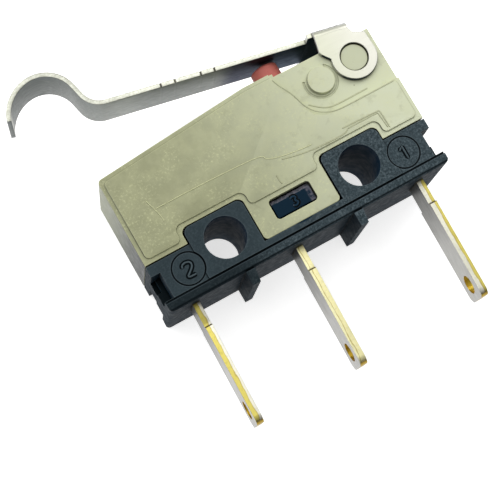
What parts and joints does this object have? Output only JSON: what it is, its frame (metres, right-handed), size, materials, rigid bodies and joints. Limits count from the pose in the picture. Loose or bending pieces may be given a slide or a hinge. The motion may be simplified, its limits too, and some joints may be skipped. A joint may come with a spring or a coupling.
{
  "type": "lever micro switch",
  "caption": "Small snap-action switch with a hinged lever that ends in a hook, a two-part plastic case with mounting holes, and flat solder terminals.",
  "frame": {"origin": "midway between the two mounting holes, on the back mounting face", "axes": "+X along the case towards the lever's pivot, +Y from the terminals towards the lever, +Z out of the front face, along the mounting holes"},
  "size_m": [0.0227, 0.0257, 0.0064],
  "materials": {
    "base_plastic": "moulded, slightly grainy",
    "cover_plastic": "moulded, satin",
    "plunger_plastic": "moulded, smooth",
    "lever_steel": "rolled stainless spring steel",
    "terminal_brass": "tin plated on the faces, bare at the sheared edges",
    "frame_brass": "stamped, bare",
    "rocker_steel": "stamped",
    "arm_bronze": "stamped phosphor bronze",
    "contact_silver": "silver alloy, headed",
    "spring_steel": "drawn music wire"
  },
  "bodies": {
    "case": {"base": "base_plastic", "cover": "cover_plastic", "common_terminal": "terminal_brass", "normally_open_terminal": "terminal_brass", "normally_closed_terminal": "terminal_brass", "contact_frame": "frame_brass", "open_contact": "contact_silver", "closed_contact": "contact_silver"},
    "lever": {"lever": "lever_steel"},
    "plunger": {"plunger": "plunger_plastic"},
    "rocker": {"rocker": "rocker_steel", "snap_spring": "spring_steel"},
    "contact_arm": {"contact_arm": "arm_bronze", "moving_contact": "contact_silver"}
  },
  "joints": [
    {"name": "lever_pivot", "type": "hinge", "parent": "case", "child": "lever", "pos_m": [0.0081, 0.00623, 0.0032], "axis": [0, 0, 1], "range_deg": [0, 11], "stiffness_Nm_per_rad": 0.04, "springref_deg": -5.73},
    {"name": "plunger_slide", "type": "slide", "parent": "case", "child": "plunger", "axis": [0, -1, 0], "range_m": [0, 0.00092]},
    {"name": "rocker_pivot", "type": "hinge", "parent": "case", "child": "rocker", "pos_m": [0.008, 0.00475, 0.0032], "axis": [0, 0, 1], "range_deg": [0, 11.4], "deforming": ["snap_spring"]},
    {"name": "contact_arm_knife", "type": "hinge", "parent": "case", "child": "contact_arm", "pos_m": [0.00055, 0.0037, 0.0032], "axis": [0, 0, 1], "range_deg": [0, 3.84]}
  ],
  "couplings": [
    {"joint": "plunger_slide", "follows": "lever_pivot", "m_per_rad": 0.00479},
    {"joint": "rocker_pivot", "follows": "lever_pivot", "ratio": 1.036},
    {"joint": "contact_arm_knife", "follows": "lever_pivot", "ratio": 0.349}
  ]
}
